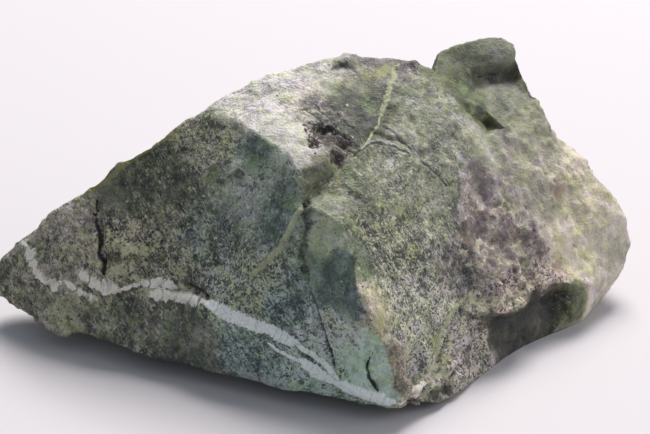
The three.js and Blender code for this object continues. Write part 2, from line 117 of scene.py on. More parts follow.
# The lines that run over the stone: what each one is, half its width, and the points it is laid through.
# A vein also says how tan it is, from 0 for white to 1. Everything is in millimetres.
lines = {
    "veinTip": {"kind": "vein", "half": 1.05, "tan": 0.8, "points": [
        (-48.4, -0.4, 15.5), (-47.9, -1.6, 14.1), (-47.0, -2.8, 12.6), (-45.7, -4.1, 11.6),
        (-44.6, -4.8, 11.1)]},
    "veinKnob": {"kind": "vein", "half": 1.15, "tan": 0.9, "points": [
        (-44.8, -4.6, 11.3), (-43.7, -5.1, 11), (-42.7, -5.4, 11.4)]},
    "veinSplitLow": {"kind": "vein", "half": 0.68, "tan": 0.8, "points": [
        (-41.6, -5.7, 11.9), (-40.4, -6.2, 11.1), (-39.1, -6.7, 10.4), (-37.5, -7.7, 10.2),
        (-36.2, -8.5, 9.9)]},
    "veinSplitHigh": {"kind": "vein", "half": 1.05, "tan": 0.8, "points": [
        (-39.2, -6.6, 14.1), (-37.8, -7.4, 13.5), (-36.4, -8.2, 12.8), (-34.8, -8.9, 12.6),
        (-33.5, -9.3, 12.6), (-32.2, -9.5, 12.4)]},
    "veinLink": {"kind": "vein", "half": 0.42, "tan": 0.8, "points": [
        (-32.2, -9.5, 12.4), (-31, -9.8, 12.9), (-29.8, -10, 13.5), (-28.8, -10.2, 13.8)]},
    "veinColumns": {"kind": "vein", "half": 0.7, "tan": 0.75, "points": [
        (-29.1, -10, 13.8), (-27, -10.7, 14.2), (-25.3, -11.1, 14.9), (-24, -11.7, 14.7),
        (-22.7, -11.7, 14)]},
    "veinRagged": {"kind": "vein", "half": 1.0, "tan": 0.85, "points": [
        (-27, -11.6, 12.8), (-25.3, -12.1, 13.3), (-23.3, -12.5, 13.3), (-21.3, -13.7, 13.5),
        (-19.2, -15, 13.8), (-17.6, -16, 13.8)]},
    "veinMain": {"kind": "vein", "half": 1.05, "tan": 0.15, "points": [
        (-17.6, -16.2, 13.8), (-16.2, -17.2, 13.8), (-14.9, -18.3, 13.5), (-13.3, -19.2, 13.1),
        (-11.5, -19.9, 12.8), (-9.6, -20.5, 12.4), (-7.8, -21.3, 12.2), (-6.1, -21.9, 11.4),
        (-4.3, -22.6, 10.8), (-2.7, -23.3, 10.4)]},
    "veinUpper": {"kind": "vein", "half": 0.45, "tan": 0.2, "points": [
        (-2.9, -23.3, 10.2), (-1.9, -23.8, 9.8), (-0.8, -24.4, 9.5), (0.3, -25.1, 9.1),
        (1.2, -26.0, 8.8), (2.1, -26.7, 8.1), (3.6, -27.5, 6.6)]},
    "veinStrand": {"kind": "vein", "half": 0.3, "tan": 0.3, "points": [
        (-7.5, -22.1, 10), (-5.8, -22.8, 9), (-4, -23.6, 8.2), (-2.6, -24.2, 7.7)]},
    "veinLower": {"kind": "vein", "half": 1.1, "tan": 0, "points": [
        (-2.6, -24.2, 7.9), (-0.8, -25, 7.4), (0.7, -26, 6.7), (2.3, -26.8, 6.2), (3.9, -27.8, 5.9),
        (5.4, -28.7, 5.5), (7.1, -29.2, 5.1), (8.8, -29.6, 4.6), (10.8, -30.1, 4.2), (12.5, -30.2, 4.1)]},
    "veinProw": {"kind": "vein", "half": 0.6, "tan": 1, "points": [
        (12.7, -30.2, 4.1), (14.4, -27.2, 2.9), (15.8, -27.6, 4.6), (17.3, -25.5, 4.6)]},
    "stepSeam": {"kind": "seam", "half": 0.4, "points": [
        (-2.1, -15.1, 30.8), (-2.9, -16.2, 29.4), (-3.9, -17, 27.9), (-4.9, -17.5, 26.2),
        (-5.5, -17.7, 24.7), (-6.6, -17.8, 23.2), (-8.1, -17.6, 21.7), (-9.2, -17.7, 20.5),
        (-10.3, -17.9, 19.1)]},
    "crownSeamLow": {"kind": "seam", "half": 0.2, "points": [
        (6.6, -6.3, 35.1), (7.6, -4.7, 35.8), (8.8, -2.4, 36.5), (10, -0.4, 37.6), (10.6, 1.6, 38.3)]},
    "crownSeamHigh": {"kind": "seam", "half": 0.42, "points": [
        (10.6, 1.6, 38.3), (11.2, 3.5, 39.3), (11.7, 5.2, 40.3), (12.3, 7.1, 41.3), (12.8, 9.4, 42.1),
        (13.2, 11.6, 43)]},
    "prowSeam": {"kind": "seam", "half": 0.38, "points": [
        (24.1, -12.9, 13), (22.4, -15.6, 12.1), (21.2, -17.5, 11.4), (20.2, -19, 10.4),
        (19.4, -20.5, 9.1), (19.4, -21.1, 7.6), (20.1, -21.1, 5.9)]},
    "streakHigh": {"kind": "groove", "half": 0.16, "points": [
        (1, 2.2, 41.2), (3.9, -0.1, 39.2), (6.5, -2.4, 37.4)]},
    "streakMid": {"kind": "groove", "half": 0.16, "points": [
        (-0.6, 1.3, 41.2), (2.3, -1.3, 39), (5.8, -4.8, 36.5)]},
    "wingCrack": {"kind": "crack", "half": 0.36, "points": [
        (-36, -1.3, 24.8), (-36.2, -2.2, 23), (-36.1, -3.4, 21.2), (-35.6, -4.1, 19.8),
        (-35.1, -5.1, 18.8), (-35.4, -6, 17.6), (-34.8, -7, 16.3), (-34.8, -8.3, 14.5)]},
    "veinLip": {"kind": "crack", "half": 0.42, "points": [
        (-20.6, -12.6, 15.4), (-19.3, -13.8, 15.2), (-18.1, -14.7, 14.9), (-17.1, -15.2, 14.5)]},
    "hollowLine": {"kind": "groove", "half": 0.22, "points": [
        (-1, -21.1, 18.9), (-0.2, -21.7, 17.5), (0.6, -23.5, 16.2), (1.2, -24.3, 14.5),
        (1.8, -24.9, 12.8)]},
    "hollowCrack": {"kind": "crack", "half": 0.27, "points": [
        (1.8, -24.9, 12.8), (2.1, -25.3, 11.1), (2.6, -26, 9.7), (3.2, -26.8, 8.4)]},
    "footCrack": {"kind": "crack", "half": 0.22, "points": [
        (8, -28.2, 11.4), (7.9, -28.5, 9.6), (8.2, -29.1, 8.2), (9, -29.3, 6.8), (9.7, -29.6, 5.8)]},
    "crownGroove": {"kind": "groove", "half": 0.26, "points": [
        (10.1, -0.1, 37.6), (11.8, -0.2, 37), (13.2, -0.9, 35.9), (14.8, -1.7, 34.6), (16.4, -2.9, 33.4),
        (18.2, -3.1, 31.8), (19.9, -3.5, 30.2), (21.2, -4, 28.7)]},
    "bowGroove": {"kind": "groove", "half": 0.24, "points": [
        (5.8, -7.1, 35.2), (7.1, -5.5, 35.6), (8.6, -3.9, 36), (10.4, -3.1, 35.9), (12.3, -3.1, 35.3),
        (14, -3.1, 34.5), (15.3, -3.5, 33.8)]},
    "crownPale": {"kind": "veil", "half": 0.17, "points": [
        (12.3, -0.4, 36.9), (13.7, -1.2, 35.7), (15.3, -2.1, 34.3), (16.9, -3.2, 33.1),
        (18.7, -3.4, 31.4), (20.4, -3.9, 29.7)]},
    "bowPale": {"kind": "veil", "half": 0.14, "points": [
        (7.3, -4.9, 35.9), (8.8, -3.3, 36.3), (10.5, -2.5, 36.2), (12.3, -2.5, 35.6), (14.0, -2.5, 34.8)]},
    "faceGroove": {"kind": "groove", "half": 0.35, "points": [
        (-5.1, -18.4, 23.1), (-4.6, -19.2, 21.4), (-4.1, -20, 19.6)]},
    "streakLow": {"kind": "groove", "half": 0.14, "points": [
        (-1.6, -0.2, 40.5), (1, -2, 38.8), (3.9, -4.8, 37.3)]},
    # The crest line below is a painted highlight: the yellow-green rim of light where the lamp behind catches
    # the left crest.
    "crestPaintedRim": {"kind": "rind", "half": 0.38, "points": [
        (-38.4, -0.3, 25.2), (-37.0, -0.3, 26.3), (-35.6, -0.4, 27.1), (-33.9, -0.1, 28.3),
        (-32.3, 0.3, 29.8), (-30.5, 0.4, 31.2), (-28.8, 0.4, 32.5), (-25.5, 0.3, 34.6),
        (-23.8, 0.3, 35.7), (-22.1, 0.4, 36.7)]},
    "rimGroove": {"kind": "groove", "half": 0.45, "points": [
        (2.7, 9.9, 43.4), (3.7, 11.7, 43.3), (4.9, 12, 43.2), (6, 11.1, 43), (7, 10, 42.6)]},
    "backVein": {"kind": "vein", "half": 0.6, "tan": 0.7, "points": [
        (-48.4, -0.4, 15.5), (-48.6, 3.5, 14.0), (-46.0, 8.0, 12.0), (-38.0, 13.0, 9.5),
        (-28.0, 17.0, 8.0), (-17.0, 20.0, 8.5), (-6.0, 22.0, 7.0), (4.0, 25.0, 7.0)]},
    "backSeam": {"kind": "seam", "half": 0.4, "points": [
        (13.2, 11.6, 43.0), (14.5, 16.0, 36.0), (15.0, 20.0, 28.0), (17.5, 24.0, 20.0),
        (18.0, 27.0, 12.0)]},
}

# How far each kind of line strays from its points, in millimetres.
sway = {"rind": 0.1, "vein": 0.25, "veil": 0.3, "seam": 0.35, "crack": 0.5, "groove": 0.4}


def laidOnStone(points, surface, step, stray):
    # the run of points, made dense and dropped onto the surface
    laid = []
    for start, end in zip(points, points[1:]):
        start, end = Vector(start) * mm, Vector(end) * mm
        count = max(1, round((end - start).length / (step * mm)))
        for i in range(count):
            place = start.lerp(end, i / count)
            shift = noise.noise_vector(place / (1.6 * mm)) * (stray * mm)
            laid.append(surface.find_nearest(place + shift)[0])
    laid.append(surface.find_nearest(Vector(points[-1]) * mm)[0])
    return laid


def layLines(surface):
    laid = {}
    for name, line in lines.items():
        run = laidOnStone(line["points"], surface, stone["lineStep"], sway[line["kind"]])
        lengths = [0.0]
        for a, b in zip(run, run[1:]):
            lengths.append(lengths[-1] + (b - a).length / mm)
        laid[name] = {**line, "run": run, "lengths": lengths}
    return laid


def treeOf(laid, kinds):
    found = [(name, i) for name, line in laid.items() if line["kind"] in kinds
             for i in range(len(line["run"]))]
    tree = KDTree(len(found))
    for index, (name, i) in enumerate(found):
        tree.insert(laid[name]["run"][i], index)
    tree.balance()
    return tree, found


def acrossLine(line, i, place):
    # how many half widths the place is from the line, and how far along the line it is
    best, along = 1e9, 0.0
    for a, b in ((i - 1, i), (i, i + 1)):
        if a < 0 or b >= len(line["run"]):
            continue
        start, end = line["run"][a], line["run"][b]
        span = end - start
        share = max(0.0, min(1.0, (place - start).dot(span) / max(span.length_squared, 1e-12)))
        gap = (place - start - span * share).length / mm
        if gap < best:
            best, along = gap, line["lengths"][a] + share * (line["lengths"][b] - line["lengths"][a])
    whole = line["lengths"][-1]
    taper = min(1.0, 0.45 + along / 2, 0.45 + (whole - along) / 2)
    swell = 1 + 0.24 * noise.noise(Vector((along / 2.2, line["half"] * 9, whole)))
    return best / (line["half"] * taper * swell), along


def lineFields(bm, laid):
    fields = {}
    for kind in sway:
        tree, found = treeOf(laid, (kind,))
        across = np.full(len(bm.verts), stone["farAway"])
        along, tan = np.zeros(len(bm.verts)), np.zeros(len(bm.verts))
        for i, v in enumerate(bm.verts):
            _, index, gap = tree.find(v.co)
            if gap < stone["lineReach"] * mm:
                name, nearest = found[index]
                across[i], along[i] = acrossLine(laid[name], nearest, v.co)
                tan[i] = laid[name].get("tan", 0.0)
        fields[kind + "Across"] = np.minimum(across, stone["farAway"])
        if kind == "vein":
            fields["veinAlong"], fields["veinTan"] = along, tan
    return fields


# How pale the ground is, in steps that the eye can name.
tones = {"deep": 0.12, "dark": 0.28, "dusky": 0.4, "middling": 0.55, "fair": 0.7, "pale": 0.85, "bright": 1.0}

# How far the ground leans to red and to yellow of the plain green.
hues = {
    "plain": (0.04, 0.03), "grey": (0.0, 0.0), "cool": (-0.05, -0.05), "blue": (-0.15, -0.18),
    "teal": (-0.18, 0.03), "leaf": (-0.05, 0.13), "moss": (0.02, 0.2), "olive": (0.05, 0.1),
    "ochre": (0.11, 0.14), "warm": (0.11, 0.0), "rosy": (0.22, 0.0), "mauve": (0.15, -0.14),
    "chalky": (0.06, -0.07),
}

# What each part of the stone is made of: the tone and the hue of its ground, how thick its pale grain and its
# dark soot lie, how much brown stain it has, and how roughly it broke.
places = {
    "leftTop": dict(at=(-16.2, -2.4, 36.2), reach=7, tone="middling", hue="olive",
                    grain=1.25, soot=1.1, rough=0.3),
    "leftMid": dict(at=(-10.3, -9.2, 30.5), reach=8, tone="fair", hue="cool",
                    grain=0.5, soot=0.7, rough=0.2),
    "leftRim": dict(at=(-9.3, -4.6, 35.6), reach=4, tone="dark", hue="blue",
                    grain=0.3, soot=0.3, rough=0.2),
    "crestFace": dict(at=(-27.0, -2.1, 28.9), reach=7, tone="dark", hue="olive",
                      grain=0.6, soot=0.5, rough=0.3),
    "crestLow": dict(at=(-33.8, -1.3, 25.7), reach=4, tone="dusky", hue="plain",
                     grain=0.2, soot=0.3, rough=0.3),
    "wingTop": dict(at=(-40.6, -2.5, 20.8), reach=6, tone="middling", hue="warm",
                    grain=0.9, soot=0.4, rough=0.4),
    "wingMid": dict(at=(-32.0, -7.3, 17.7), reach=7, tone="dusky", hue="ochre",
                    grain=1.5, soot=0.8, rough=0.45),
    "tip": dict(at=(-49.9, -1.6, 10.3), reach=6, tone="dusky", hue="olive",
                grain=0.9, soot=0.35, rough=0.5),
    "tipUnder": dict(at=(-42.6, -7.3, 6.9), reach=6, tone="fair", hue="olive",
                     grain=0.5, soot=0.5, rough=0.5),
    "underVein": dict(at=(-30.4, -12.0, 7.2), reach=7, tone="dusky", hue="plain",
                      grain=0.7, soot=0.7, rough=0.4),
    "lowLeft": dict(at=(-20.2, -17.3, 6.0), reach=6, tone="dark", hue="grey",
                    grain=0.35, soot=0.35, rough=0.3),
    "aboveVein": dict(at=(-23.6, -10.4, 16.6), reach=6, tone="dusky", hue="olive",
                      grain=1.3, soot=1.0, rough=0.3),
    "leftLow": dict(at=(-16.9, -10.3, 22.1), reach=6, tone="dusky", hue="cool",
                    grain=1.0, soot=1.0, rough=0.2),
    "lowFace": dict(at=(-11.9, -17.8, 17.1), reach=6, tone="fair", hue="leaf",
                    grain=2.0, soot=1.6, rough=0.25),
    "bevelLeft": dict(at=(-11.9, -20.7, 8.1), reach=5, tone="middling", hue="blue",
                      grain=1.0, soot=0.9, rough=0.3),
    "bevelRight": dict(at=(1.6, -26.2, 4.3), reach=5, tone="bright", hue="teal",
                       grain=1.5, soot=1.1, rough=0.25),
    "plate": dict(at=(-6.3, -13.3, 29.0), reach=5, tone="dark", hue="blue",
                  grain=0.45, soot=0.5, rough=0.15),
    "hollowTop": dict(at=(1.0, -19.4, 27.2), reach=2.5, tone="pale", hue="leaf",
                      grain=0.2, soot=0.2, rough=0.25),
    "hollowFold": dict(at=(0.2, -21.3, 22.0), reach=2.5, tone="middling", hue="teal",
                       grain=0.2, soot=0.3, rough=0.25),
    "hollowShade": dict(at=(-0.5, -21.8, 18.6), reach=2.5, tone="dusky", hue="blue",
                        grain=0.5, soot=0.6, rough=0.25),
    "hollowSide": dict(at=(-4.7, -21.0, 15.3), reach=4, tone="middling", hue="blue",
                       grain=0.85, soot=1.0, rough=0.25),
    "hollowDeep": dict(at=(2.6, -24.0, 21.4), reach=3, tone="dark", hue="blue",
                       grain=0.25, soot=0.3, rough=0.2),
    "hollowMid": dict(at=(1.6, -24.4, 13.6), reach=4.5, tone="bright", hue="cool",
                      grain=1.2, soot=1.0, rough=0.25),
    "hollowFoot": dict(at=(7.3, -28.9, 8.8), reach=4, tone="pale", hue="teal",
                       grain=0.3, soot=0.0, rough=0.2),
    "ridgeHead": dict(at=(2.6, -16.0, 31.3), reach=2, tone="deep", hue="warm",
                      grain=0.2, rough=0.2),
    "ridgeTop": dict(at=(1.6, -16.5, 31.2), reach=3.5, tone="middling", hue="leaf",
                     grain=0.3, soot=0.15, rough=0.3),
    "ridgeMid": dict(at=(5.8, -22.3, 26.3), reach=3, tone="dark", hue="leaf",
                     grain=0.35, soot=0.15, rough=0.3),
    "ridgeOchre": dict(at=(9.1, -28.2, 18.0), reach=3.5, tone="fair", hue="ochre",
                       grain=0.4, soot=0.15, rough=0.3),
    "ridgeFoot": dict(at=(12.8, -28.5, 8.9), reach=3.5, tone="dusky", hue="rosy",
                      grain=0.5, soot=0.4, rough=0.35),
    "centreTop": dict(at=(7.5, -11.4, 32.5), reach=5, tone="dusky", hue="olive",
                      grain=0.5, soot=0.35, rough=0.3),
    "centreHigh": dict(at=(15.2, -8.4, 29.2), reach=6, tone="middling", hue="plain",
                       grain=0.75, soot=0.5, rough=0.35),
    "centreMid": dict(at=(13.5, -15.2, 24.7), reach=6, tone="dark", hue="olive",
                      grain=1.2, soot=0.8, rough=0.3),
    "centreLow": dict(at=(16.6, -18.8, 16.8), reach=6, tone="fair", hue="plain",
                      grain=1.4, soot=1.3, rough=0.4),
    "centreFoot": dict(at=(16.6, -23.4, 9.4), reach=5, tone="pale", hue="plain",
                       grain=1.3, soot=1.2, rough=0.5),
    "centreEast": dict(at=(22.1, -11.8, 17.4), reach=4, tone="dusky", hue="mauve",
                       grain=0.8, soot=0.8, stain=0.2, rough=0.6),
    "plateauWest": dict(at=(-13.8, 1.3, 40.5), reach=6, tone="pale", hue="chalky",
                        grain=0.7, soot=-0.3, rough=0.35),
    "plateauMid": dict(at=(-7.7, 3.0, 41.4), reach=6, tone="bright", hue="chalky",
                       grain=0.7, soot=-0.3, rough=0.45),
    "plateauEdge": dict(at=(-2.1, 2.8, 41.9), reach=3, tone="bright", hue="olive",
                        grain=0.6, soot=-0.3, rough=0.4),
    "plateauBrow": dict(at=(-1.7, -0.5, 40.3), reach=2.5, tone="bright", hue="plain",
                        grain=0.5, soot=-0.2, rough=0.35),
    "plateauEast": dict(at=(-0.8, 1.3, 41.3), reach=4, tone="dark", hue="mauve",
                        grain=0.6, soot=-0.1, rough=0.35),
    "plateauLip": dict(at=(-4.3, -6.0, 38.2), reach=4, tone="pale", hue="chalky",
                       grain=0.1, soot=-0.9, rough=0.25),
    "plateauLow": dict(at=(-11.0, -1.6, 39.0), reach=3, tone="pale", hue="chalky",
                       grain=0.1, soot=-0.9, rough=0.25),
    "plateauFar": dict(at=(1.6, 9.3, 43.3), reach=6, tone="fair", hue="chalky",
                       grain=0.4, soot=-0.1, rough=0.4),
    "pittedMid": dict(at=(2.6, -4.2, 37.3), reach=2.5, tone="deep", hue="olive",
                      grain=0.7, soot=0.8, rough=1.0),
    "olive": dict(at=(0.0, -11.0, 34.3), reach=2.5, tone="dusky", hue="olive",
                  grain=0.2, soot=0.3, rough=0.5),
    "crown": dict(at=(6.5, 4.3, 40.3), reach=4.5, tone="deep", hue="ochre",
                  grain=0.2, soot=-0.4, rough=0.3),
    "crownRim": dict(at=(10.5, 11.7, 43.4), reach=4, tone="dusky", hue="mauve",
                     grain=0.3, soot=0.0, rough=0.4),
    "crownEast": dict(at=(18.1, 4.1, 37.8), reach=5, tone="middling", hue="plain",
                      grain=0.3, soot=0.1, rough=0.4),
    "eastFace": dict(at=(21.3, 0.3, 33.2), reach=4, tone="middling", hue="plain",
                     grain=0.6, soot=0.5, rough=0.4),
    "peakLeft": dict(at=(24.2, 15.7, 40.1), reach=5, tone="dark", hue="moss",
                     grain=0.0, soot=-1.0, rough=0.35),
    "peakFront": dict(at=(31.3, 21.3, 41.4), reach=4, tone="dusky", hue="plain",
                      grain=0.0, soot=-1.0, rough=0.35),
    "recess": dict(at=(30.6, 20.6, 37.2), reach=2.5, tone="dusky", hue="mauve",
                   grain=0.0, soot=-1.0, rough=0.4),
    "slot": dict(at=(28.9, 12.8, 32.2), reach=2, tone="fair", hue="moss",
                 grain=0.0, soot=-1.0, rough=0.2),
    "neck": dict(at=(31.5, 16.5, 34.5), reach=3, tone="middling", hue="plain",
                 grain=0.0, soot=-1.0, rough=0.4),
    "lump": dict(at=(27.8, 6.3, 31.3), reach=3.5, tone="fair", hue="plain",
                 grain=0.0, soot=-1.0, rough=0.5),
    "stainTop": dict(at=(27.4, 1.3, 26.3), reach=3.5, tone="fair", hue="mauve",
                     grain=0.3, soot=0.0, stain=0.35, rough=0.7),
    "stainMid": dict(at=(29.2, -4.5, 19.0), reach=5, tone="fair", hue="warm",
                     grain=0.5, soot=0.3, stain=0.5, rough=0.9),
    "stainLow": dict(at=(35.1, -2.2, 15.0), reach=3.5, tone="fair", hue="warm",
                     grain=0.5, soot=0.3, stain=0.5, rough=0.9),
    "creamTop": dict(at=(39.2, 9.1, 24.4), reach=5, tone="fair", hue="warm",
                     grain=0.1, soot=-0.9, stain=0.2, rough=0.6),
    "creamMid": dict(at=(47.5, 10.7, 18.8), reach=6, tone="pale", hue="ochre",
                     grain=0.1, soot=-0.9, stain=0.1, rough=0.6),
    "end": dict(at=(52.7, 10.6, 12.1), reach=4, tone="pale", hue="warm",
                grain=0.1, soot=-0.9, stain=0.1, rough=0.5),
    "creamLow": dict(at=(44.0, 4.9, 14.1), reach=4, tone="bright", hue="ochre",
                     grain=0.1, soot=-0.9, stain=0.2, rough=0.7),
    "ledgeLip": dict(at=(31.5, -9.4, 11.2), reach=3, tone="pale", hue="rosy",
                     grain=1.1, soot=1.3, stain=0.25, rough=1.0),
    "ledgeEast": dict(at=(38.0, -2.6, 11.0), reach=3, tone="pale", hue="rosy",
                      grain=1.0, soot=1.1, stain=0.3, rough=1.0),
    # under the ledge the deep tone is painted shade
    "underLedge": dict(at=(34.5, -5.5, 5.5), reach=4, tone="deep", hue="rosy",
                       grain=0.0, soot=0.2, rough=0.7),
    "heel": dict(at=(47.6, 4.0, 4.4), reach=4, tone="pale", hue="warm",
                 grain=0.1, soot=-0.5, rough=0.4),
    "heelGreen": dict(at=(45.0, -0.4, 5.2), reach=2.5, tone="dark", hue="moss",
                      grain=0.2, soot=0.0, rough=0.4),
    "flank": dict(at=(37.3, 15.0, 31.1), reach=4, tone="middling", hue="olive",
                  grain=0.1, soot=-0.9, rough=0.5),
    "prowEast": dict(at=(23.5, -17.8, 4.1), reach=4, tone="bright", hue="warm",
                     grain=1.4, soot=1.4, stain=0.25, rough=0.9),
    "prowTip": dict(at=(19.1, -25.0, 2.0), reach=4, tone="fair", hue="warm",
                    grain=1.0, soot=1.0, rough=1.0),
    "backWing": dict(at=(-30.0, 12.0, 20.0), reach=12, tone="dusky", hue="plain",
                     grain=0.6, soot=0.5, rough=0.5),
    "backMid": dict(at=(-5.0, 20.0, 25.0), reach=12, tone="dusky", hue="grey",
                    grain=0.45, soot=0.45, rough=0.4),
    "backEast": dict(at=(25.0, 26.0, 22.0), reach=12, tone="middling", hue="warm",
                     grain=0.6, soot=0.4, rough=0.6),
    "backEnd": dict(at=(45.0, 26.0, 14.0), reach=9, tone="fair", hue="rosy",
                    grain=0.5, soot=-0.5, stain=0.25, rough=0.7),
    "backFoot": dict(at=(0.0, 26.0, 6.0), reach=10, tone="dusky", hue="plain",
                     grain=0.8, soot=0.6, rough=0.5),
    "sole": dict(at=(0.0, 0.0, 0.0), reach=25, tone="dusky", hue="plain",
                 grain=0.6, soot=0.5, rough=0.4),
}
grades = ["light", "grain", "soot", "stain", "red", "yellow", "rough"]


def strayed(spots, strays):
    # every spot moved a little, so that no edge is a plain circle
    moves = [sum((noise.noise_vector(Vector(p) / size) * far for size, far in strays), Vector())
             for p in spots]
    return spots + np.array(moves)


def toneFields(bm, surface):
    # each vertex takes the mixture of the places near it that face the same way
    spot = np.array([v.co for v in bm.verts]) / mm
    facing = np.array([v.normal for v in bm.verts])
    warped = strayed(spot, stone["toneStray"])
    total = np.full(len(spot), 1e-5)
    sums = {name: np.full(len(spot), 4e-6) for name in grades}
    for place in places.values():
        at, normal = surface.find_nearest(Vector(place["at"]) * mm)[:2]
        gap = np.linalg.norm(warped - np.array(at) / mm, axis=1) / place["reach"]
        agree = np.clip(facing @ np.array(normal), 0, 1)
        weight = (np.exp(-0.5 * gap ** 2) / (0.3 + gap ** 2) * (0.012 + agree ** 6)) ** 1.7
        total += weight
        red, yellow = hues[place["hue"]]
        graded = {**place, "light": tones[place["tone"]], "red": red, "yellow": yellow}
        for name in grades:
            sums[name] += weight * graded.get(name, 0.0)
    return {name: sums[name] / total for name in grades}


